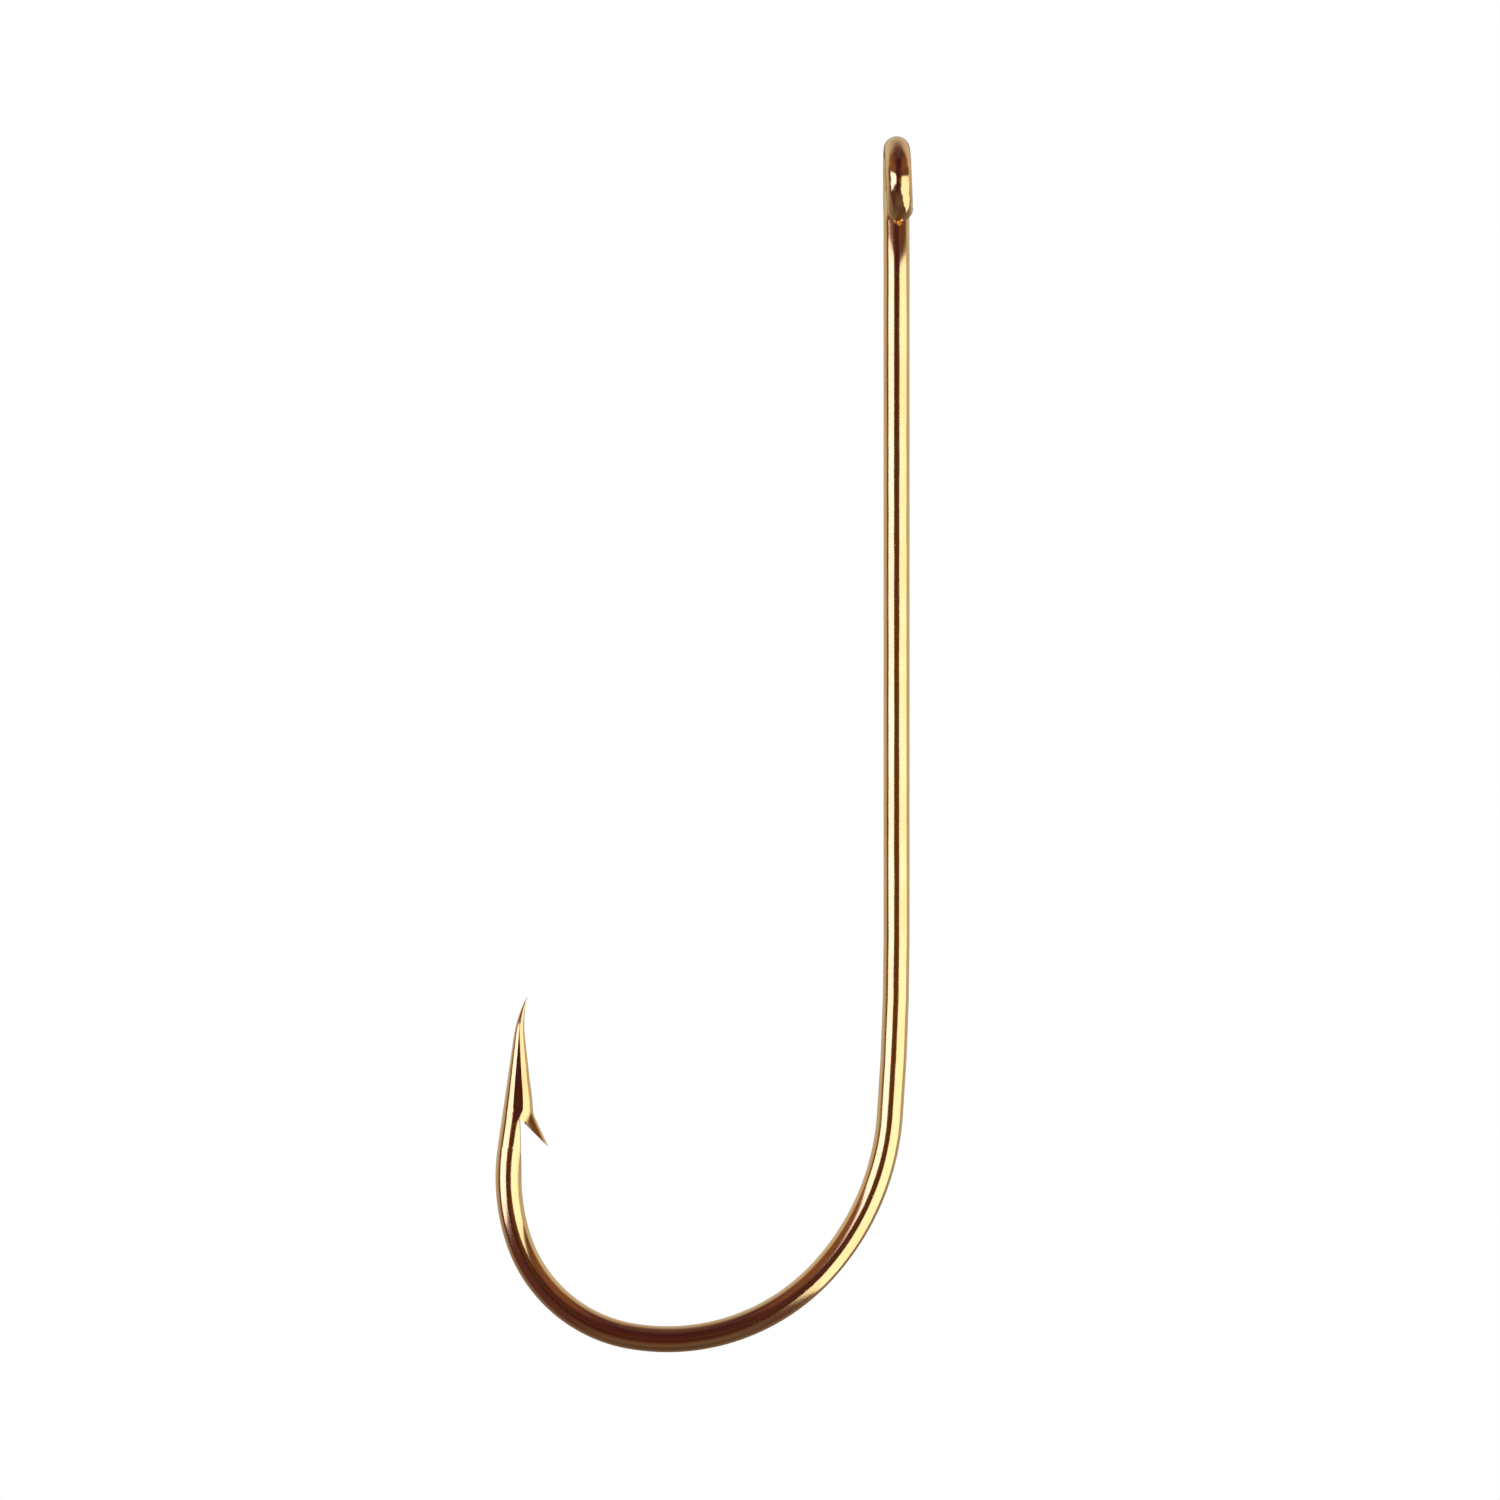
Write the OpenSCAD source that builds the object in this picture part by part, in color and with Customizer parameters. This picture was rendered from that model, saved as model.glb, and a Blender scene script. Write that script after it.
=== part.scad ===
// Long-shank fishing hook with a ringed eye, a round bend and a barbed point.
// The real hook is one length of round wire. Here each stretch of that wire is a solid of its own,
// and neighbouring stretches meet face to face.
// The origin is the centre of the eye's bore, which runs along X. +Z runs up the shank to the eye,
// the hook lies in the XZ plane, and the point is on the -X side.

/* [Wire] */
// Diameter of the wire
wire_d = 0.813; // [0.76:0.001:0.86]

/* [Hook] */
// Length from the top of the eye to the bottom of the bend
hook_length = 38; // [30:0.5:60]

/* [Eye] */
// Diameter of the bore that the line goes through
bore_d = 1.25; // [1.2:0.01:1.6]
// Depth of the narrow cylindrical land that the forming mandrel leaves inside the ring
land_depth = 0.03; // [0.02:0.005:0.06]
// Centreline radius of the neck that carries the wire to the back of the ring
neck_r = 0.6; // [0.55:0.05:0.8]
// Angle from the bottom of the ring to the cut end of the wire
end_angle = 22; // [20:1:60]

/* [Bend] */
// Centreline radius of the faint sweep below the shank
sweep_r = 72; // [50:1:90]
// Turn of the faint sweep
sweep_turn = 4.4; // [3:0.1:5]
// Centreline radius of the heel, where the bend leaves the line of the shank
heel_r = 8; // [7:0.1:9]
// Turn of the heel
heel_turn = 38.5; // [34:0.1:42]
// Centreline radius across the bottom of the bend
base_r = 6.6; // [6:0.1:7.5]
// Turn of the bottom
base_turn = 57.6; // [52:0.1:60]
// Centreline radius of the tight turn up towards the point
front_r = 4.5; // [4:0.1:5.5]
// Turn of the tight part
front_turn = 61.7; // [56:0.1:64]
// Centreline radius of the last, easier turn
throat_r = 6.2; // [5:0.1:8]
// Turn of the last part
throat_turn = 26.1; // [22:0.1:29]

/* [Point] */
// Straight length from the end of the bend to where the grinding starts
leg_length = 1.7; // [1.6:0.05:2.5]
// Ground length of the point
point_length = 3.1; // [2.5:0.05:4]
// Half-width of the blunt tip
tip_r = 0.012; // [0.01:0.001:0.03]
// Shape of the taper: 1 is a plain cone, less than 1 is fuller
taper_power = 0.95; // [0.8:0.01:1]
// Length of the tip that curves in towards the shank
beak_length = 1.35; // [0.5:0.05:2]
// Radius of the inward curve
beak_r = 4; // [3:0.1:10]
// Thickness of the ground point across its two flats, as a share of its width
flat_share = 0.92; // [0.85:0.01:1]

/* [Barb] */
// Height of the barb's root above the end of the bend
root_height = 1; // [0.9:0.05:1.1]
// Depth of the cut at the barb's root
cut_depth = 0.26; // [0.2:0.01:0.3]
// Angle from the leg to the floor of the cut
cut_angle = 10; // [9:0.5:14]
// Length of the barb's underside, from root to tip
barb_length = 1.27; // [1.1:0.01:1.4]
// Angle from the leg to the underside of the barb
underside_angle = 53; // [50:1:56]
// Angle from the leg to the back of the barb
back_angle = 33; // [31:1:36]

/* [Hidden] */

wire_r = wire_d / 2;
plating = "gold";

// The ring's centreline, and the height where the neck leaves the shank
ring_r = bore_d / 2 - land_depth + wire_r;
neck_z = -sqrt(pow(ring_r + neck_r, 2) - pow(neck_r, 2));
neck_turn = acos(neck_r / (ring_r + neck_r));

// The bend, as tangent arcs. A turn is measured from straight down, towards the point's side.
arc_r = [sweep_r, heel_r, base_r, front_r, throat_r];
arc_turn = [sweep_turn, heel_turn, base_turn, front_turn, throat_turn];
arc_count = len(arc_r);
function turned(i) = i == 0 ? 0 : turned(i - 1) + arc_turn[i - 1];
function run(i) = i == 0 ? 0 : run(i - 1) + arc_r[i - 1] * (cos(turned(i)) - cos(turned(i - 1)));
function rise(i) = i == 0 ? 0 : rise(i - 1) - arc_r[i - 1] * (sin(turned(i)) - sin(turned(i - 1)));

// Depth of the bend below the shank's foot: only the turn up to a quarter circle goes down
function down(i) = i == 0 ? 0
    : down(i - 1) + arc_r[i - 1] * (sin(min(90, turned(i))) - sin(min(90, turned(i - 1))));
foot_z = ring_r + 2 * wire_r - hook_length + down(arc_count);

// The leg stands on the end of the bend and leans in towards the shank
leg_lean = turned(arc_count) - 180;
leg_x = run(arc_count);
leg_z = foot_z + rise(arc_count);

// The barb, in the leg's own frame: X is towards the shank and Z is along the leg
root = [wire_r - cut_depth, root_height];
barb_tip = root + barb_length * [sin(underside_angle), -cos(underside_angle)];
shoulder = [wire_r, barb_tip.y + (barb_tip.x - wire_r) / tan(back_angle)];
cut_run = 2.6 * wire_d;
reach = 2 * wire_d;

// The point's centreline: ground on the inside only, so it leans out by half of its taper
point_lean = atan(wire_r / point_length);
straight_part = point_length - beak_length;
function heading(s) = -point_lean + max(0, s - straight_part) / beak_r * 180 / PI;
function axis_x(s) = -min(s, straight_part) * sin(point_lean)
    + beak_r * (cos(point_lean) - cos(heading(s)));
function axis_z(s) = min(s, straight_part) * cos(point_lean)
    + beak_r * (sin(heading(s)) + sin(point_lean));
function half_width(s) = max(tip_r, wire_r * pow(1 - s / point_length, taper_power));

// The flats deepen over the first fifth of the point
function flat_limit(s) = 1 - (1 - flat_share) * min(1, 5 * s / point_length);
ring_count = 14;
side_count = 24;

// Wire bent about the Z axis, from the X axis onwards
module wire_arc(radius, turn) {
    rotate_extrude(angle = turn, $fn = 96)
        translate([radius, 0]) circle(d = wire_d, $fn = 48);
}

// Wire bent in the eye's plane. The angle it starts at is measured from +Y towards +Z.
module eye_arc(radius, from_angle, turn) {
    rotate([90, 0, 90]) rotate([0, 0, from_angle]) wire_arc(radius, turn);
}

// One arc of the bend, in its place below the shank
module bend_arc(i) {
    translate([run(i) - arc_r[i] * cos(turned(i)), 0, foot_z + rise(i) + arc_r[i] * sin(turned(i))])
        rotate([90, 0, 0]) rotate([0, 0, -turned(i + 1)]) wire_arc(arc_r[i], arc_turn[i]);
}

// Places its children in the leg's frame
module on_leg() {
    translate([leg_x, 0, leg_z]) rotate([0, leg_lean, 0]) children();
}

// A thick plate across the hook, from an outline in the hook's plane
module plate(outline) {
    rotate([90, 0, 0]) linear_extrude(height = 2 * wire_d, center = true) polygon(outline);
}

// What the barb's cut takes away: its floor runs out of the wire, and its upper face is where
// the barb stands
module barb_cut() {
    floor_foot = root + cut_run * [tan(cut_angle), -1];
    plate([root, floor_foot, [reach, floor_foot.y], root + 2 * (shoulder - root)]);
}

// The ring, almost a full turn of wire, with its land
module eye() {
    color(plating) difference() {
        eye_arc(ring_r, -neck_turn, 270 + neck_turn - end_angle);
        rotate([0, 90, 0]) cylinder(d = bore_d, h = 4 * wire_d, center = true, $fn = 96);
    }
}

module neck() {
    color(plating) translate([0, neck_r, neck_z]) eye_arc(neck_r, 180 - neck_turn, neck_turn);
}

module shank() {
    color(plating) translate([0, 0, foot_z])
        cylinder(d = wire_d, h = neck_z - foot_z, $fn = 48);
}

module sweep() {
    color(plating) bend_arc(0);
}

module heel() {
    color(plating) bend_arc(1);
}

module base() {
    color(plating) bend_arc(2);
}

module front() {
    color(plating) bend_arc(3);
}

module throat() {
    color(plating) difference() {
        bend_arc(4);
        on_leg() barb_cut();
    }
}

module leg() {
    color(plating) on_leg() difference() {
        cylinder(d = wire_d, h = leg_length, $fn = 48);
        barb_cut();
    }
}

// A loft of flattened rings along the point's centreline
module point() {
    points = [
        for (ring = [0 : ring_count - 1])
            let (
                s = point_length * ring / (ring_count - 1),
                width = half_width(s),
                limit = flat_limit(s) * width,
                turn = heading(s)
            )
            for (side = [0 : side_count - 1])
                let (
                    angle = 360 * side / side_count,
                    across = width * cos(angle),
                    thick = max(-limit, min(limit, width * sin(angle)))
                )
                [axis_x(s) + across * cos(turn), thick, axis_z(s) - across * sin(turn)]
    ];
    walls = [
        for (ring = [0 : ring_count - 2])
            for (side = [0 : side_count - 1])
                let (
                    a = ring * side_count + side,
                    b = ring * side_count + (side + 1) % side_count
                )
                [a, a + side_count, b + side_count, b]
    ];
    foot = [for (side = [0 : side_count - 1]) side];
    tip = [for (side = [side_count - 1 : -1 : 0]) (ring_count - 1) * side_count + side];
    color(plating) on_leg() translate([0, 0, leg_length])
        polyhedron(points = points, faces = concat(walls, [foot, tip]), convexity = 4);
}

module barb() {
    color(plating) on_leg() intersection() {
        plate([root, root + 1.4 * (barb_tip - root), root + 1.6 * (shoulder - root)]);
        translate([barb_tip.x, 0, barb_tip.y]) rotate([0, -back_angle, 0])
            translate([-wire_r, 0, -barb_length])
                cylinder(d = wire_d, h = 3 * barb_length, $fn = 48);
    }
}

eye();
neck();
shank();
sweep();
heel();
base();
front();
throat();
leg();
point();
barb();
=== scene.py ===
"""Looks for a long-shank fishing hook: one length of gold-plated wire, bent whole round its CAD frame.

The hook lies in the XZ plane. The eye's centre is the origin, the shank runs down -Z, and the
point is on the -X side. Every length is in metres.
"""
import math

import bmesh
import bpy
from mathutils import Matrix, Vector


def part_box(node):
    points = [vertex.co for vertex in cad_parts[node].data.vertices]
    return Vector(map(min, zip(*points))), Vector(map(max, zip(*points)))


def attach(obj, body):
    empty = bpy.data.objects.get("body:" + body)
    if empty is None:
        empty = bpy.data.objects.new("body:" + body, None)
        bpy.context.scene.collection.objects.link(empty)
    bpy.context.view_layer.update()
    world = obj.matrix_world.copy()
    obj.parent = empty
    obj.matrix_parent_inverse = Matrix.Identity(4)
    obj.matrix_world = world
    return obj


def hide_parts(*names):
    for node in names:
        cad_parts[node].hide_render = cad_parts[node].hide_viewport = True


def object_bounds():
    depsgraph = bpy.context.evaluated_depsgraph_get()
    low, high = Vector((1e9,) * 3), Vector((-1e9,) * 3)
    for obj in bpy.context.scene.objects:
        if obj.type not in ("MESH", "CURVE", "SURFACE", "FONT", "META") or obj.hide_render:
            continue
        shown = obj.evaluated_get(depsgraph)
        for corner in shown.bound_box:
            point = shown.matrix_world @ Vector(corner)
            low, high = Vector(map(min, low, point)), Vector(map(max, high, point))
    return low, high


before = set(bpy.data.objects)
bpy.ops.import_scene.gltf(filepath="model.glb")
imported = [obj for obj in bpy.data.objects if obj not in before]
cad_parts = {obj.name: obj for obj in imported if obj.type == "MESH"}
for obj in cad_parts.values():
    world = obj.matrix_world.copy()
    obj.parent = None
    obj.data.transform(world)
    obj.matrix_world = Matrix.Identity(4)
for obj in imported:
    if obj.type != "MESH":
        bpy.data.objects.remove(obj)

bl_info = {
    "name": "Long-Shank Hook",
    "version": (1, 0, 0),
    "blender": (4, 5, 0),
    "location": "3D View > Sidebar > Hook",
    "description": "Bends, grinds, barbs and plates a fishing hook, and sets it in a studio",
    "category": "Add Mesh",
}

CAD_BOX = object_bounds()
BODY = "root"
MM = 0.001
LAY = "wire_lay"

SHANK_LOW, SHANK_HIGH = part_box("shank")
WIRE_RADIUS = (SHANK_HIGH.y - SHANK_LOW.y) / 2
SHANK_FOOT = SHANK_LOW.z
RING_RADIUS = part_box("eye")[1].z - WIRE_RADIUS

X_AXIS, Y_AXIS, Z_AXIS = Vector((1, 0, 0)), Vector((0, 1, 0)), Vector((0, 0, 1))

# Vertices closer than this are one
WELD = 0.0002 * MM
# A place no further than this past the end of an arc is still on it
SEAM_SLACK = math.radians(0.05)
# The surface is smooth across an edge that turns by less than this
CREASE = math.radians(12.5)


# Settings ---------------------------------------------------------------------------------------

class HookWireSettings(bpy.types.PropertyGroup):
    """The wire and the eye rolled from its end"""
    sides: bpy.props.IntProperty(
        name="Sides", description="Flats that stand for the round of the wire", default=64, min=16)
    lean_radius: bpy.props.FloatProperty(
        name="Lean Radius", description="Radius in which the shank's top leans back",
        default=8 * MM, unit="LENGTH")
    lean: bpy.props.FloatProperty(
        name="Lean", description="How far the shank's top leans back below the neck",
        default=math.radians(12), subtype="ANGLE")
    neck_radius: bpy.props.FloatProperty(
        name="Neck Radius", description="Centreline radius of the bend between shank and ring",
        default=0.6 * MM, unit="LENGTH")
    end_angle: bpy.props.FloatProperty(
        name="End Angle", description="Angle from the bottom of the ring to the wire's cut end",
        default=math.radians(22), subtype="ANGLE")
    end_lean: bpy.props.FloatProperty(
        name="End Lean", description="How far the cut end stands to one side of the ring's plane",
        default=0.1 * MM, unit="LENGTH")
    end_chamfer: bpy.props.FloatProperty(
        name="End Chamfer", description="Width of the rounded rim of the cut end",
        default=0.07 * MM, unit="LENGTH")


class HookBendSettings(bpy.types.PropertyGroup):
    """The bend, as tangent arcs from the shank's foot to the leg"""
    radii: bpy.props.FloatVectorProperty(
        name="Radii", description="Centreline radius of each arc of the bend", size=5,
        default=[r * MM for r in (72, 8, 6.6, 4.5, 6.2)], unit="LENGTH")
    turns: bpy.props.FloatVectorProperty(
        name="Turns", description="Turn of each arc of the bend", size=5,
        default=[math.radians(t) for t in (4.4, 38.5, 57.6, 61.7, 26.1)], subtype="EULER")


class HookPointSettings(bpy.types.PropertyGroup):
    """The leg, the ground point and the barb"""
    leg_length: bpy.props.FloatProperty(
        name="Leg Length", description="Straight length under the grinding",
        default=1.7 * MM, unit="LENGTH")
    point_length: bpy.props.FloatProperty(
        name="Point Length", description="Ground length", default=3.1 * MM, unit="LENGTH")
    taper_power: bpy.props.FloatProperty(
        name="Taper Power", description="1 is a plain cone, less is fuller", default=0.95)
    tip_radius: bpy.props.FloatProperty(
        name="Tip Radius", description="Half-width of the blunt tip",
        default=0.012 * MM, unit="LENGTH")
    beak_length: bpy.props.FloatProperty(
        name="Beak Length", description="Length of the tip that curves in",
        default=1.35 * MM, unit="LENGTH")
    beak_radius: bpy.props.FloatProperty(
        name="Beak Radius", description="Radius of the inward curve",
        default=4 * MM, unit="LENGTH")
    facet_tilt: bpy.props.FloatProperty(
        name="Facet Tilt", description="Turn of the surface at each edge of a ground facet",
        default=math.radians(16), subtype="ANGLE")
    facet_share: bpy.props.FloatProperty(
        name="Facet Share", description="Widest facet, as a share of the wire's width",
        default=0.345, subtype="FACTOR")
    thinning: bpy.props.FloatProperty(
        name="Thinning", description="How much thinner the facets leave the wire",
        default=0.1, subtype="FACTOR")
    ease: bpy.props.FloatProperty(
        name="Ease", description="Length before and after the leg's end in which the taper sets in",
        default=0.5 * MM, unit="LENGTH")
    swell: bpy.props.FloatProperty(
        name="Swell", description="How far the leg swells inwards over the barb",
        default=0.12 * MM, unit="LENGTH")
    root_depth: bpy.props.FloatProperty(
        name="Root Depth", description="Depth of the barb's cut at its root",
        default=0.26 * MM, unit="LENGTH")
    root_height: bpy.props.FloatProperty(
        name="Root Height", description="Height of the barb's root above the bend",
        default=1.0 * MM, unit="LENGTH")
    cut_angle: bpy.props.FloatProperty(
        name="Cut Angle", description="Angle from the leg to the floor of the cut",
        default=math.radians(10), subtype="ANGLE")
    barb_length: bpy.props.FloatProperty(
        name="Barb Length", description="Length of the barb's underside",
        default=1.27 * MM, unit="LENGTH")
    underside_angle: bpy.props.FloatProperty(
        name="Underside Angle", description="Angle from the leg to the barb's underside",
        default=math.radians(53), subtype="ANGLE")
    shoulder_angle: bpy.props.FloatProperty(
        name="Shoulder Angle", description="Angle from the leg to the barb's back at its start",
        default=math.radians(12.5), subtype="ANGLE")
    back_angle: bpy.props.FloatProperty(
        name="Back Angle", description="Angle from the leg to the barb's back at its tip",
        default=math.radians(33), subtype="ANGLE")
    back_radius: bpy.props.FloatProperty(
        name="Back Radius", description="Radius of the barb's back between those two angles",
        default=1.2 * MM, unit="LENGTH")
    chip_width: bpy.props.FloatProperty(
        name="Chip Width", description="From the chip's thickest place to its back",
        default=0.55 * MM, unit="LENGTH")
    chip_heel: bpy.props.FloatProperty(
        name="Chip Heel", description="From the chip's thickest place to its inner end",
        default=0.12 * MM, unit="LENGTH")
    chip_depth: bpy.props.FloatProperty(
        name="Chip Depth", description="Half of the chip's greatest thickness",
        default=0.295 * MM, unit="LENGTH")


class HookPlatingSettings(bpy.types.PropertyGroup):
    """Colours and surface of the gold plating"""
    gold: bpy.props.FloatVectorProperty(
        name="Gold", description="Colour of the plating", subtype="COLOR", size=3,
        default=(1.0, 0.695, 0.31))
    deep_gold: bpy.props.FloatVectorProperty(
        name="Deep Gold", description="Colour where the plating is thicker", subtype="COLOR",
        size=3, default=(1.0, 0.64, 0.26))
    stain: bpy.props.FloatVectorProperty(
        name="Stain", description="Colour of the small tarnished spots", subtype="COLOR", size=3,
        default=(0.62, 0.3, 0.09))
    roughness: bpy.props.FloatProperty(
        name="Roughness", description="Roughness of the clean plating", default=0.13,
        subtype="FACTOR")


class HookStageSettings(bpy.types.PropertyGroup):
    """Camera, softboxes and cove"""
    lens: bpy.props.FloatProperty(
        name="Lens", description="Focal length in millimetres", default=200, unit="CAMERA")
    view_width: bpy.props.FloatProperty(
        name="View Width", description="Width of the view at the hook",
        default=46.875 * MM, unit="LENGTH")
    view_centre: bpy.props.FloatVectorProperty(
        name="View Centre", description="Point that the camera faces", subtype="TRANSLATION",
        size=3, default=(-4.58 * MM, 0, -17.77 * MM))
    softbox_distance: bpy.props.FloatProperty(
        name="Softbox Distance", description="Distance of the softboxes' corners from the hook",
        default=0.6, unit="LENGTH")
    left_light: bpy.props.FloatVectorProperty(
        name="Left Light", description="Brightness of the left softbox", subtype="COLOR",
        size=3, default=(1.5, 1.5, 2.3))
    right_light: bpy.props.FloatVectorProperty(
        name="Right Light", description="Brightness of the right softbox", subtype="COLOR",
        size=3, default=(1.3, 1.38, 1.52))
    cove_radius: bpy.props.FloatProperty(
        name="Cove Radius", description="Radius of the floor inside the cove",
        default=0.8, unit="LENGTH")
    cove_curve: bpy.props.FloatProperty(
        name="Cove Curve", description="Radius in which the floor curves up into the wall",
        default=0.25, unit="LENGTH")
    cove_wall: bpy.props.FloatProperty(
        name="Cove Wall", description="Height of the wall above the curve",
        default=1.2, unit="LENGTH")
    floor_gap: bpy.props.FloatProperty(
        name="Floor Gap", description="Height of the hook above the floor",
        default=9 * MM, unit="LENGTH")


# Small helpers ----------------------------------------------------------------------------------

def edges_in(made):
    return [item for item in made["geom"] if isinstance(item, bmesh.types.BMEdge)]


def verts_in(made):
    return [item for item in made["geom"] if isinstance(item, bmesh.types.BMVert)]


def rim_of(edges):
    """The vertices of a rim of edges"""
    return list({vert for edge in edges for vert in edge.verts})


def edges_of(verts):
    """The edges that meet at some vertices"""
    return list({edge for vert in verts for edge in vert.link_edges})


def smooth_step(value):
    held = max(0.0, min(1.0, value))
    return held * held * (3 - 2 * held)


def turn_about(axis, angle):
    return Matrix.Rotation(angle, 4, axis)


def finish_shape(bm, name):
    """Welds a bmesh, turns its faces outwards and returns it as an object"""
    bmesh.ops.remove_doubles(bm, verts=bm.verts, dist=WELD)
    bmesh.ops.recalc_face_normals(bm, faces=bm.faces)
    mesh = bpy.data.meshes.new(name)
    bm.to_mesh(mesh)
    bm.free()
    piece = bpy.data.objects.new(name, mesh)
    bpy.context.scene.collection.objects.link(piece)
    return piece


def apply_tool(piece, tool, operation):
    """Cuts or joins a tool's shape into a piece, and removes the tool"""
    work = piece.modifiers.new("tool", "BOOLEAN")
    work.operation = operation
    work.solver = "EXACT"
    work.object = tool
    shaped = piece.evaluated_get(bpy.context.evaluated_depsgraph_get())
    mesh = bpy.data.meshes.new_from_object(shaped)
    piece.modifiers.remove(work)
    worn = piece.data
    piece.data = mesh
    bpy.data.meshes.remove(worn)
    bpy.data.objects.remove(tool)


# Bending the wire -------------------------------------------------------------------------------

# Longest piece of each stretch of the wire: the bend, the ring and neck, the lean and the shank
ARC_STEP = math.radians(2)
EYE_STEP = math.radians(5)
LEAN_STEP = math.radians(1)
SHANK_STEP = 0.8 * MM
# Steps that round the rim of the eye's cut end
RIM_STEPS = 8


class Bend:
    """Where each arc of the bend starts, and the leg's place at its end"""

    def __init__(self, settings):
        self.arcs = []
        turned, x, z = 0.0, 0.0, SHANK_FOOT
        for radius, turn in zip(settings.radii, settings.turns, strict=True):
            centre = Vector((x - radius * math.cos(turned), 0, z + radius * math.sin(turned)))
            self.arcs.append((centre, radius, turned, turn))
            turned += turn
            x = centre.x + radius * math.cos(turned)
            z = centre.z - radius * math.sin(turned)
        self.leg = Matrix.Translation((x, 0, z)) @ turn_about("Y", turned - math.pi)


def double_rim(bm, rim):
    """Extrudes the wire's open end in place and returns the new end's vertices and edges"""
    made = bmesh.ops.extrude_edge_only(bm, edges=rim)
    end = verts_in(made)
    fresh = set(end)
    return end, [edge for edge in edges_in(made) if fresh.issuperset(edge.verts)]


def draw_out(bm, rim, move):
    """Extrudes the wire's open end by a vector and returns the new end"""
    end, rim = double_rim(bm, rim)
    bmesh.ops.translate(bm, verts=end, vec=move)
    return rim


def bend_round(bm, rim, centre, axis, turn, step, drift=(0, 0, 0)):
    """Spins the wire's open end round an axis and returns the new end"""
    steps = math.ceil(turn / step)
    made = bmesh.ops.spin(
        bm, geom=rim_of(rim) + rim, cent=centre, axis=axis, angle=turn, steps=steps,
        dvec=Vector(drift) / steps, use_duplicate=False)
    return [item for item in made["geom_last"] if isinstance(item, bmesh.types.BMEdge)]


class Neck:
    """The way from the straight shank to the back of the ring: a slight lean, then a tight bend"""

    def __init__(self, wire):
        # The tight bend touches the ring from outside and the lean's arc from inside, so these are
        # the distances of its centre from theirs
        reach = RING_RADIUS + wire.neck_radius
        slack = wire.lean_radius - wire.neck_radius
        back = wire.lean_radius - slack * math.cos(wire.lean)
        drop = math.sqrt(reach ** 2 - back ** 2)
        self.radius = wire.neck_radius
        self.lean_radius = wire.lean_radius
        self.lean = wire.lean
        self.centre = Vector((0, back, -drop))
        self.start = -drop - slack * math.sin(wire.lean)
        self.lean_centre = Vector((0, wire.lean_radius, self.start))
        self.ring_turn = math.atan2(drop, back)
        self.ring_end = self.ring_turn + math.radians(270) - wire.end_angle + SEAM_SLACK
        self.turn = self.ring_turn - wire.lean


def roll_eye(bm, rim, wire, neck):
    """Carries the wire from the shank's top to the back of the ring and once round it"""
    rim = bend_round(bm, rim, neck.lean_centre, -X_AXIS, neck.lean, LEAN_STEP)
    rim = bend_round(bm, rim, neck.centre, -X_AXIS, neck.turn, EYE_STEP)
    back_turn = neck.ring_turn + math.radians(90)
    front_turn = math.radians(180) - wire.end_angle
    rim = bend_round(bm, rim, (0, 0, 0), X_AXIS, back_turn, EYE_STEP)
    rim = bend_round(
        bm, rim, (0, 0, 0), X_AXIS, front_turn, EYE_STEP, drift=(wire.end_lean, 0, 0))
    end = bmesh.ops.contextual_create(bm, geom=rim)["faces"][0]
    bmesh.ops.bevel(
        bm, geom=list(end.edges), offset=wire.end_chamfer, segments=RIM_STEPS, profile=0.5,
        affect="EDGES", material=-1)


# Grinding the point -----------------------------------------------------------------------------

# Longest step between two rings of the leg and point
RING_STEP = 0.08 * MM
# Sides of the wire in each half of a facet
FLAT_SIDES = 3
# Heights above the end of the bend: where the facets start, the lengths in which they widen and
# thin the wire, where they start to close, and where they are closed
FACET_FOOT = 0.75 * MM
FACET_RUN_IN = 0.6 * MM
THINNING_RUN = 1.9 * MM
FACET_FULL = 1.56 * MM
FACET_CLOSED = 4.05 * MM
# A facet's least width, as a share of its full width, and the shape of its closing
FACET_LEAST = 0.08
FACET_CLOSING = 1.6
# The swell over the barb: its peak above the barb's root, its lengths and the shape of its fall
SWELL_PEAK = 0.25 * MM
SWELL_RISE = 0.5 * MM
SWELL_FALL = 1.0 * MM
SWELL_POWER = 1.5


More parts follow.
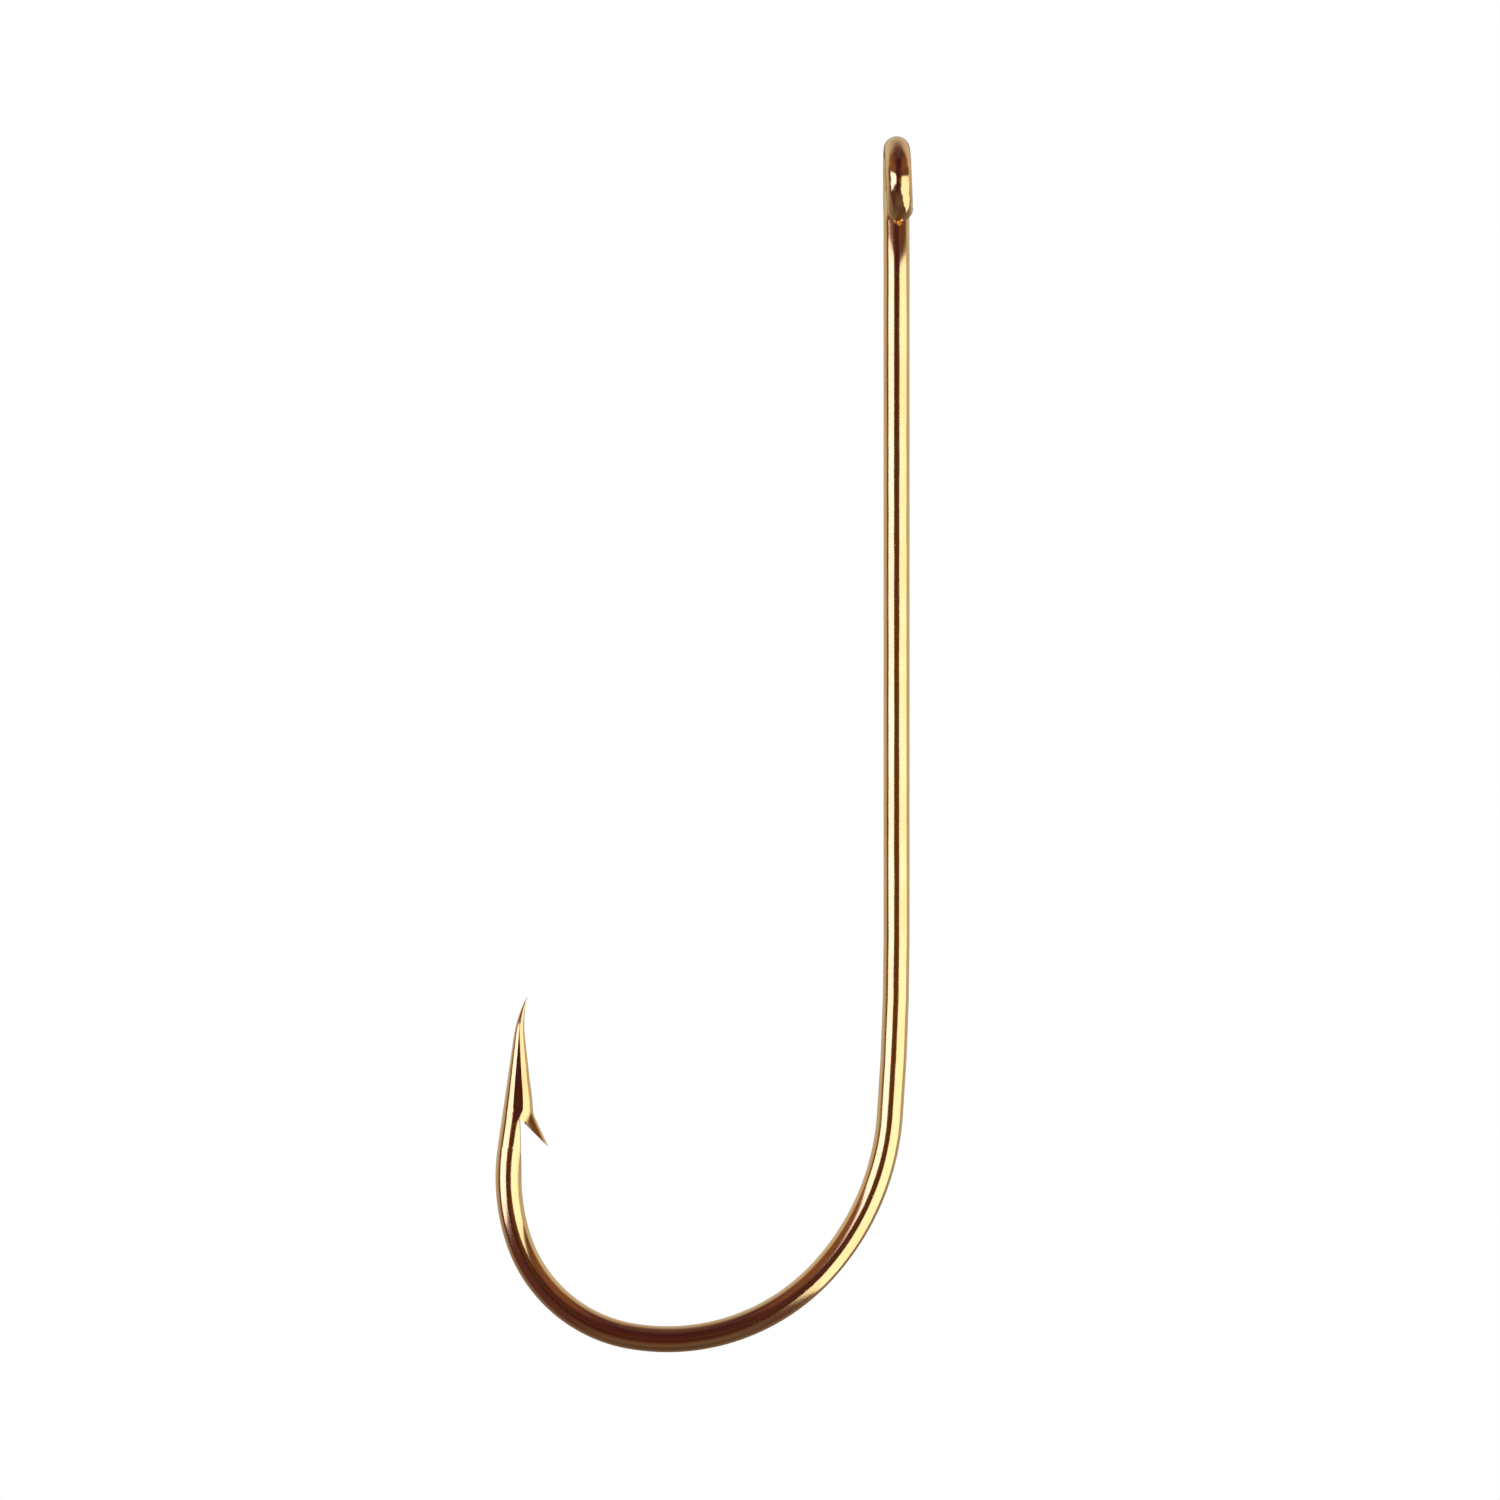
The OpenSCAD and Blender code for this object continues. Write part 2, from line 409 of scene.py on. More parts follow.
class Point:
    """The leg and point as rings: where each stands, which way it faces and how wide it is"""

    def __init__(self, settings, leg):
        self.settings = settings
        self.leg = leg
        self.lean = math.atan(WIRE_RADIUS / settings.point_length)
        self.straight = settings.point_length - settings.beak_length

    def eased(self, height):
        """How much of the point lies below this height, and the taper's share of its full rate"""
        over = height - self.settings.leg_length
        rate = max(0.0, min(1.0, 0.5 + over / (2 * self.settings.ease)))
        if rate < 1:
            return self.settings.ease * rate ** 2, rate
        return over, rate

    def axis(self, ground):
        """Sideways and lengthways place of the centreline after this much grinding"""
        before = min(ground, self.straight)
        radius = self.settings.beak_radius
        bent = max(0.0, ground - self.straight) / radius - self.lean
        side = -before * math.sin(self.lean) + radius * (math.cos(self.lean) - math.cos(bent))
        rise = before * math.cos(self.lean) + radius * (math.sin(bent) + math.sin(self.lean))
        return side, rise

    def half_width(self, ground):
        left = 1 - ground / self.settings.point_length
        return max(self.settings.tip_radius, WIRE_RADIUS * left ** self.settings.taper_power)

    def ring(self, height):
        """Matrix that takes the leg's first ring to this height along the leg and point"""
        ground, rate = self.eased(height)
        side, rise = self.axis(ground)
        bent = max(0.0, ground - self.straight) / self.settings.beak_radius
        scale = self.half_width(ground) / WIRE_RADIUS
        place = Matrix.Translation((side, 0, height - ground + rise))
        turn = turn_about("Y", bent - self.lean * rate)
        return self.leg @ place @ turn @ Matrix.Scale(scale, 4)

    def swell(self, height):
        """How far the inner side stands proud at this height, from the barb being struck"""
        past = height - self.settings.root_height - SWELL_PEAK
        up = smooth_step(1 + past / SWELL_RISE)
        down = max(0.0, 1 - max(0.0, past) / SWELL_FALL) ** SWELL_POWER
        return self.settings.swell * up * down

    def facet(self, height):
        """The facets' edge tilt, their half-width in wire radii, and the share of depth they leave"""
        widened = smooth_step((height - FACET_FOOT) / FACET_RUN_IN)
        start = FACET_LEAST + (1 - FACET_LEAST) * widened
        closed = max(0.0, min(1.0, (height - FACET_FULL) / (FACET_CLOSED - FACET_FULL)))
        half = self.settings.facet_share * start * max(FACET_LEAST, 1 - closed ** FACET_CLOSING)
        thin = self.settings.thinning * smooth_step((height - FACET_FOOT) / THINNING_RUN)
        return self.settings.facet_tilt * start, half, 1 - thin


def grind_ring(verts, place, facet, swell):
    """Grinds a facet front and back on one round ring, and swells its inner side"""
    tilt, half, thickness = facet
    # The rounds between the facets meet them at their edge tilt and keep the wire's full width
    round_radius = (1 - half) / (1 - math.sin(tilt))
    back = place.inverted()
    step = math.tau / len(verts)
    edge = FLAT_SIDES * step
    quarter = math.pi / 2
    for vert in verts:
        local = back @ vert.co
        angle = math.atan2(local.y, local.x)
        side = math.copysign(1, angle)
        off = abs(angle) - quarter
        share = max(0.0, (abs(off) - edge) / (quarter - edge))
        normal = tilt + share * (quarter - tilt)
        width = half + round_radius * (math.sin(normal) - math.sin(tilt))
        depth = thickness * round_radius * math.cos(normal)
        inward = -math.copysign(width, off) if share > 0 else -half * off / edge
        local.x = WIRE_RADIUS * inward
        local.y = WIRE_RADIUS * depth * side
        spread = swell / 2 * (1 + inward)
        local.x += spread / place.to_scale().x
        vert.co = place @ local


def draw_point(bm, rim, point):
    """Extrudes the leg and the point ring by ring, then grinds the rings"""
    settings = point.settings
    total = settings.leg_length + settings.point_length
    count = round(total / RING_STEP)
    place = point.ring(0)
    rings = []
    for index in range(1, count + 1):
        height = total * index / count
        end, rim = double_rim(bm, rim)
        target = point.ring(height)
        bmesh.ops.transform(bm, matrix=target @ place.inverted(), verts=end)
        rings.append((height, target, end))
        place = target
    bmesh.ops.contextual_create(bm, geom=rim)
    for height, target, end in rings[:-1]:
        grind_ring(end, target, point.facet(height), point.swell(height))


# Striking the barb ------------------------------------------------------------------------------

# Length of the cut's floor, which runs out of the wire before its end, how far the cut reaches
# sideways from there, and its length under the barb as a share of the barb's
CUT_RUN = 5.2 * WIRE_RADIUS
CUT_REACH = 6 * WIRE_RADIUS
CUT_OVERRUN = 1.3
# Straight length of the barb's back before its tip, and the longer straight that is drawn and pared
BACK_STRAIGHT = 0.95 * MM
CHIP_LENGTH = 1.4 * MM
# The chip's straight part above its curve, and its root inside the wire: its length, its slant as a
# share of that length, and the share of the chip's width that is left at its end
CHIP_NECK = 0.45 * MM
CHIP_ROOT = 0.6 * MM
CHIP_ROOT_SLANT = 0.15
CHIP_ROOT_SHARE = 0.5


def leg_vector(angle):
    """Unit vector in the leg's frame, at an angle from straight down the leg towards the shank"""
    return Vector((math.sin(angle), 0, -math.cos(angle)))


class Barb:
    """The barb's corners, in the leg's frame"""

    def __init__(self, settings):
        self.settings = settings
        inner = WIRE_RADIUS - settings.root_depth
        self.root = Vector((inner, 0, settings.root_height))
        self.tip = self.root + settings.barb_length * leg_vector(settings.underside_angle)
        self.turn = settings.back_angle - settings.shoulder_angle
        bend_end = self.tip - BACK_STRAIGHT * leg_vector(settings.back_angle)
        self.centre = bend_end + settings.back_radius * leg_vector(
            settings.back_angle + math.radians(90))
        self.bend_start = self.centre - settings.back_radius * leg_vector(
            settings.shoulder_angle + math.radians(90))


def make_plate(name, leg, corners):
    """A thick plate across the hook, from its outline in the leg's frame"""
    bm = bmesh.new()
    rim = [bm.verts.new(corner + Y_AXIS * 2 * WIRE_RADIUS) for corner in corners]
    face = bm.faces.new(rim)
    made = bmesh.ops.extrude_face_region(bm, geom=[face])
    bmesh.ops.translate(bm, verts=verts_in(made), vec=-Y_AXIS * 4 * WIRE_RADIUS)
    bmesh.ops.transform(bm, matrix=leg, verts=bm.verts)
    return finish_shape(bm, name)


def make_cut(leg, barb):
    """What the chisel clears under the barb: its floor runs out of the wire"""
    settings = barb.settings
    foot = barb.root + CUT_RUN * Vector((math.tan(settings.cut_angle), 0, -1))
    out = foot + CUT_REACH * X_AXIS
    over = barb.root + CUT_OVERRUN * settings.barb_length * leg_vector(settings.underside_angle)
    return make_plate("chisel", leg, [barb.root, foot, out, over])


def make_chip(leg, barb, sides):
    """The chip that the chisel raises: wire bent away from the leg, and pared to an edge"""
    settings = barb.settings
    down = leg_vector(settings.shoulder_angle)
    sideways = leg_vector(settings.shoulder_angle + math.radians(90))
    neck = barb.bend_start - CHIP_NECK * down - settings.chip_width * sideways
    rooted = CHIP_ROOT * Vector((-CHIP_ROOT_SLANT, 0, 1))
    place = Matrix.Translation(neck + rooted) @ turn_about("Y", -settings.shoulder_angle)
    bm = bmesh.new()
    top = bmesh.ops.create_circle(bm, cap_ends=True, segments=sides, radius=CHIP_ROOT_SHARE)
    for vert in top["verts"]:
        vert.co.x *= settings.chip_width if vert.co.x > 0 else settings.chip_heel
        vert.co.y *= settings.chip_depth
    bmesh.ops.transform(bm, verts=top["verts"], matrix=place)
    end, rim = double_rim(bm, edges_of(top["verts"]))
    bmesh.ops.translate(bm, verts=end, vec=-rooted)
    bmesh.ops.scale(
        bm, verts=end, vec=[1 / CHIP_ROOT_SHARE] * 3, space=Matrix.Translation(-neck))
    rim = draw_out(bm, rim, CHIP_NECK * down)
    rim = bend_round(bm, rim, barb.centre, -Y_AXIS, barb.turn, ARC_STEP)
    rim = draw_out(bm, rim, CHIP_LENGTH * leg_vector(settings.back_angle))
    bmesh.ops.contextual_create(bm, geom=rim)
    under = leg_vector(settings.underside_angle - math.radians(90))
    cut = bmesh.ops.bisect_plane(
        bm, geom=list(bm.verts) + list(bm.edges) + list(bm.faces), dist=WELD,
        plane_co=barb.root, plane_no=under, clear_outer=True)
    lip = [item for item in cut["geom_cut"] if isinstance(item, bmesh.types.BMEdge)]
    bmesh.ops.contextual_create(bm, geom=lip)
    bmesh.ops.transform(bm, matrix=leg, verts=bm.verts)
    return finish_shape(bm, "chip")


# The wire's lay: where each point of the surface was on the straight wire --------------------------

# Above the shank's foot, whatever is nearer than this to the shank's axis is the shank
SHANK_REACH = 4 * WIRE_RADIUS


class Lay:
    """Turns a place on the bent hook back to its place on the straight wire"""

    def __init__(self, bend, neck):
        self.bend = bend
        self.neck = neck
        self.leg = bend.leg.inverted()

    def eye(self, co):
        """The same for the eye: the ring, then the lean, then the tight bend of the neck"""
        neck = self.neck
        turned = (math.atan2(co.z, co.y) + neck.ring_turn) % math.tau
        if turned < neck.ring_end:
            along = neck.lean_radius * neck.lean + neck.radius * neck.turn + RING_RADIUS * turned
            return Vector((co.x, math.hypot(co.y, co.z) - RING_RADIUS, -along))
        out = co - neck.lean_centre
        around = math.atan2(out.z, -out.y)
        if around <= neck.lean:
            reach = math.hypot(out.y, out.z)
            return Vector((co.x, neck.lean_radius - reach, -neck.lean_radius * around))
        out = co - neck.centre
        around = math.atan2(out.z, -out.y) - neck.lean
        along = neck.lean_radius * neck.lean + neck.radius * around
        return Vector((co.x, neck.radius - math.hypot(out.y, out.z), -along))

    def straightened(self, co):
        """Offsets from the wire's centreline, and the place along it from the shank's top"""
        if co.z > self.neck.start:
            return self.eye(co)
        if co.z > SHANK_FOOT and co.x > -SHANK_REACH:
            return Vector((co.x, co.y, self.neck.start - co.z))
        along = self.neck.start - SHANK_FOOT
        for centre, radius, turned, turn in self.bend.arcs:
            out = co - centre
            angle = math.atan2(-out.z, out.x)
            if angle < -SEAM_SLACK:
                angle += math.tau
            off = math.hypot(out.x, out.z) - radius
            within = turned - SEAM_SLACK < angle < turned + turn + SEAM_SLACK
            if within and abs(off) < 2 * WIRE_RADIUS:
                return Vector((off, co.y, along + radius * (angle - turned)))
            along += radius * turn
        local = self.leg @ co
        return Vector((-local.x, co.y, along + local.z))


def write_lay(mesh, lay):
    """Stores each vertex's place on the straight wire, in millimetres, for the plating to follow"""
    layer = mesh.attributes.new(LAY, "FLOAT_VECTOR", "POINT")
    for vert in mesh.vertices:
        layer.data[vert.index].vector = lay.straightened(vert.co) / MM


# Plating ----------------------------------------------------------------------------------------

# Scale of each pattern across the wire and along it, in waves to the millimetre
DRAWN_SCALE = (14, 14, 0.5)
FINE_SCALE = (45, 45, 1.6)
WAVE_SCALE = (1.1, 1.1, 0.45)
CLOUD_SCALE = (1.6, 1.6, 0.5)
SPECK_SCALE = (9, 9, 5)
PIT_SCALE = (26, 26, 17)
MARK_SCALE = (1.9, 1.9, 1.6)
# Depth of each pattern in the surface
DRAWN_DEPTH = 0.0014 * MM
FINE_DEPTH = 0.0003 * MM
WAVE_DEPTH = 0.012 * MM
PIT_DEPTH = 0.0015 * MM
MARK_DEPTH = 0.06 * MM
# Range of a noise in which it turns from one look into the next
DEEP_GOLD_RANGE = (0.35, 0.68)
STAIN_RANGE = (0.72, 0.82)
DRAWN_RANGE = (0.3, 0.75)
PIT_RANGE = (0.74, 0.84)
# How strong a stain is, and what stains and pits add to the roughness
STAIN_STRENGTH = 0.7
STAIN_ROUGHNESS = 0.1
PIT_ROUGHNESS = 0.08
# Share of the clean plating's roughness, from its smoothest drawn lines to its roughest
DRAWN_ROUGHNESS = (0.85, 1.35)
# Places along the wire, in millimetres, between which the tools' marks on the eye fade out
WORKED_RANGE = (-2.3, -1.2)


class NodeTree:
    """Short calls for laying out a material's nodes"""

    def __init__(self, tree):
        self.tree = tree
        tree.nodes.clear()

    def node(self, kind, **values):
        made = self.tree.nodes.new(kind)
        for name, value in values.items():
            setattr(made, name, value)
        return made

    def link(self, output, node, name):
        self.tree.links.new(output, node.inputs[name])

    def mapped(self, vector, scale, offset=(0, 0, 0)):
        """A Mapping node that stretches a pattern"""
        made = self.node("ShaderNodeMapping")
        made.inputs["Scale"].default_value = scale
        made.inputs["Location"].default_value = offset
        self.link(vector, made, "Vector")
        return made.outputs["Vector"]

    def noise(self, vector, detail=2.0, roughness=0.5):
        made = self.node("ShaderNodeTexNoise")
        made.inputs["Scale"].default_value = 1.0
        made.inputs["Detail"].default_value = detail
        made.inputs["Roughness"].default_value = roughness
        self.link(vector, made, "Vector")
        return made.outputs["Fac"]

    def ranged(self, value, low, high, to_low=0.0, to_high=1.0, smooth=True):
        """Maps a value from one range to another, and holds it there"""
        kind = "SMOOTHSTEP" if smooth else "LINEAR"
        made = self.node("ShaderNodeMapRange", interpolation_type=kind)
        made.inputs["From Min"].default_value = low
        made.inputs["From Max"].default_value = high
        made.inputs["To Min"].default_value = to_low
        made.inputs["To Max"].default_value = to_high
        self.link(value, made, "Value")
        return made.outputs["Result"]

    def mixed(self, factor, first, second):
        """Mixes two colours, each a colour or an output"""
        made = self.node("ShaderNodeMix", data_type="RGBA")
        self.tree.links.new(factor, made.inputs[0])
        for socket, colour in ((made.inputs[6], first), (made.inputs[7], second)):
            if isinstance(colour, bpy.types.NodeSocket):
                self.tree.links.new(colour, socket)
            else:
                socket.default_value = (*colour, 1)
        return made.outputs[2]

    def ramp(self, value, stops):
        """Runs through colours, each at its place between -1 and 1"""
        made = self.node("ShaderNodeValToRGB")
        elements = made.color_ramp.elements
        while len(elements) < len(stops):
            elements.new(1.0)
        for element, (place, colour) in zip(elements, stops, strict=True):
            element.position = (place + 1) / 2
            element.color = (*colour, 1)
        self.link(value, made, "Fac")
        return made.outputs["Color"]

    def maths(self, operation, first, second=0.0):
        made = self.node("ShaderNodeMath", operation=operation)
        for index, value in enumerate((first, second)):
            if isinstance(value, bpy.types.NodeSocket):
                self.tree.links.new(value, made.inputs[index])
            else:
                made.inputs[index].default_value = value
        return made.outputs[0]

    def bump(self, height, distance, normal=None):
        made = self.node("ShaderNodeBump")
        made.inputs["Distance"].default_value = distance
        self.link(height, made, "Height")
        if normal is not None:
            self.link(normal, made, "Normal")
        return made.outputs["Normal"]


def make_plating(settings):
    """Gold plating over drawn wire: lines along it, slow changes of tone, stains, pits, marks"""
    material = bpy.data.materials.new("gold_plating")
    material.use_nodes = True
    nodes = NodeTree(material.node_tree)
    lay = nodes.node("ShaderNodeAttribute", attribute_name=LAY).outputs["Vector"]

    drawn = nodes.noise(nodes.mapped(lay, DRAWN_SCALE), detail=4, roughness=0.65)
    fine = nodes.noise(nodes.mapped(lay, FINE_SCALE))
    waves = nodes.noise(nodes.mapped(lay, WAVE_SCALE), detail=1)
    clouds = nodes.noise(nodes.mapped(lay, CLOUD_SCALE, (3, 1, 7)), detail=3)
    specks = nodes.noise(nodes.mapped(lay, SPECK_SCALE), detail=3, roughness=0.6)
    pits = nodes.noise(nodes.mapped(lay, PIT_SCALE, (5, 2, 0)), detail=1)
    marks = nodes.noise(nodes.mapped(lay, MARK_SCALE))

    tone = nodes.ranged(clouds, *DEEP_GOLD_RANGE)
    plate = nodes.mixed(tone, settings.gold, settings.deep_gold)
    stained = nodes.ranged(specks, *STAIN_RANGE, 0.0, STAIN_STRENGTH)
    colour = nodes.mixed(stained, plate, settings.stain)

    least, most = (settings.roughness * share for share in DRAWN_ROUGHNESS)
    rough = nodes.ranged(drawn, *DRAWN_RANGE, least, most)
    rough = nodes.maths("ADD", rough, nodes.maths("MULTIPLY", stained, STAIN_ROUGHNESS))
    rough = nodes.maths("ADD", rough, nodes.ranged(pits, *PIT_RANGE, 0.0, PIT_ROUGHNESS))

    split = nodes.node("ShaderNodeSeparateXYZ")
    nodes.link(lay, split, "Vector")
    worked = nodes.ranged(split.outputs["Z"], *WORKED_RANGE, 1.0, 0.0)
    relief = nodes.bump(waves, WAVE_DEPTH)
    relief = nodes.bump(nodes.maths("MULTIPLY", worked, marks), MARK_DEPTH, relief)
    relief = nodes.bump(drawn, DRAWN_DEPTH, relief)
    relief = nodes.bump(fine, FINE_DEPTH, relief)
    relief = nodes.bump(nodes.ranged(pits, *PIT_RANGE, 1.0, 0.0), PIT_DEPTH, relief)

    shader = nodes.node("ShaderNodeBsdfPrincipled")
    shader.inputs["Metallic"].default_value = 1.0
    nodes.link(colour, shader, "Base Color")
    nodes.link(rough, shader, "Roughness")
    nodes.link(relief, shader, "Normal")
    output = nodes.node("ShaderNodeOutputMaterial")
    nodes.link(shader.outputs["BSDF"], output, "Surface")
    return material


# The hook ---------------------------------------------------------------------------------------

class HOOK_OT_make_wire(bpy.types.Operator):
    """Bend the wire, roll its eye, grind its point, strike its barb and plate it"""
    bl_idname = "hook.make_wire"
    bl_label = "Make Hook Wire"
    bl_options = {"REGISTER", "UNDO"}

    def execute(self, context):
        scene = context.scene
        wire, point_settings = scene.hook_wire, scene.hook_point
        bend, neck = Bend(scene.hook_bend), Neck(wire)
        piece = self.bend_wire(wire, point_settings, bend, neck)
        barb = Barb(point_settings)
        apply_tool(piece, make_cut(bend.leg, barb), "DIFFERENCE")
        apply_tool(piece, make_chip(bend.leg, barb, wire.sides), "UNION")
        self.smooth(piece)
        write_lay(piece.data, Lay(bend, neck))
        piece.data.materials.clear()
        piece.data.materials.append(make_plating(scene.hook_plating))
        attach(piece, BODY)
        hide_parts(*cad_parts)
        return {"FINISHED"}

    def bend_wire(self, wire, point_settings, bend, neck):
        """The whole wire as one closed tube, from the cut end of the eye to the tip"""
        bm = bmesh.new()
        made = bmesh.ops.create_circle(
            bm, segments=wire.sides, radius=WIRE_RADIUS,
            matrix=Matrix.Translation((0, 0, neck.start)))
        top = edges_of(made["verts"])
        roll_eye(bm, top, wire, neck)
        shank = neck.start - SHANK_FOOT
        pulls = round(shank / SHANK_STEP)
        rim = top
        for _ in range(pulls):
            rim = draw_out(bm, rim, -Z_AXIS * shank / pulls)
        for centre, _radius, _turned, turn in bend.arcs:
            rim = bend_round(bm, rim, centre, Y_AXIS, turn, ARC_STEP)
        draw_point(bm, rim, Point(point_settings, bend.leg))
        return finish_shape(bm, "hook_wire")

    def smooth(self, piece):
        """Smooth faces, with a crease wherever the surface turns by more than a side of the wire"""
        bm = bmesh.new()
        bm.from_mesh(piece.data)
        bmesh.ops.remove_doubles(bm, verts=bm.verts, dist=WELD)
        bmesh.ops.dissolve_degenerate(bm, edges=bm.edges, dist=WELD)
        for face in bm.faces:
            face.smooth = True
        for edge in bm.edges:
            edge.smooth = edge.calc_face_angle(0.0) < CREASE
        bm.to_mesh(piece.data)
        bm.free()


# The stage --------------------------------------------------------------------------------------

# What the room shows at each height, from straight below (-1) to straight above (1)
ROOM_FRONT = [
    (-1.0, (0.08, 0.055, 0.06)),
    (-0.88, (0.15, 0.105, 0.1)),
    (-0.7, (0.12, 0.07, 0.065)),
    (-0.42, (0.064, 0.019, 0.021)),
    (-0.07, (0.042, 0.01, 0.009)),
    (-0.045, (0.12, 0.047, 0.009)),
    (0.02, (0.13, 0.052, 0.01)),
    (0.05, (0.05, 0.012, 0.014)),
    (0.25, (0.06, 0.017, 0.03)),
    (0.4, (0.07, 0.019, 0.035)),
    (0.7, (0.045, 0.012, 0.024)),
    (1.0, (0.11, 0.06, 0.08)),
]
ROOM_SIDES = [
    (-1.0, (0.08, 0.045, 0.05)),
    (-0.7, (0.1, 0.036, 0.045)),
    (-0.3, (0.08, 0.027, 0.038)),
    (0.2, (0.08, 0.03, 0.02)),
    (0.45, (0.2, 0.085, 0.052)),
    (0.7, (0.19, 0.08, 0.06)),
    (0.9, (0.06, 0.02, 0.03)),
    (1.0, (0.11, 0.06, 0.08)),
]
ROOM_BACK = [
    (-1.0, (0.1, 0.07, 0.07)),
    (-0.4, (0.25, 0.21, 0.2)),
    (0.0, (0.52, 0.5, 0.47)),
    (0.45, (0.6, 0.58, 0.56)),
    (0.7, (0.5, 0.47, 0.5)),
    (0.9, (0.38, 0.33, 0.38)),
    (1.0, (0.16, 0.11, 0.14)),
]
# The darker patch straight behind the hook
ROOM_REAR = (0.13, 0.085, 0.055)
# Where each part of the room turns into the next: the unit vector's share across, or backwards
FRONT_TO_SIDES = (0.2, 0.55)
FRONT_TO_BACK = (-0.1, 0.4)
BACK_TO_REAR = (0.9, 0.985)
# Azimuth and elevation in degrees of each softbox's corners
LEFT_CORNERS = [(-25, 13), (-77, 16), (-75, -17), (-23, -6)]
RIGHT_CORNERS = [(28, 9), (96, 9), (118, -46), (15, -23)]
COVE_CURVE_STEPS = 12
COVE_SIDES = 96


def make_glow(name, light=(1, 1, 1)):
    """A material that only shines"""
    material = bpy.data.materials.new(name)
    material.use_nodes = True
    nodes = NodeTree(material.node_tree)
    glow = nodes.node("ShaderNodeEmission")
    glow.inputs["Color"].default_value = (*light, 1)
    output = nodes.node("ShaderNodeOutputMaterial")
    nodes.link(glow.outputs["Emission"], output, "Surface")
    return material


def toward(azimuth, elevation):
    """Unit vector from the hook: azimuth 0 is towards the camera and 90 is to its right"""
    across, up = math.radians(azimuth), math.radians(elevation)
    return Vector((
        math.sin(across) * math.cos(up), -math.cos(across) * math.cos(up), math.sin(up)))


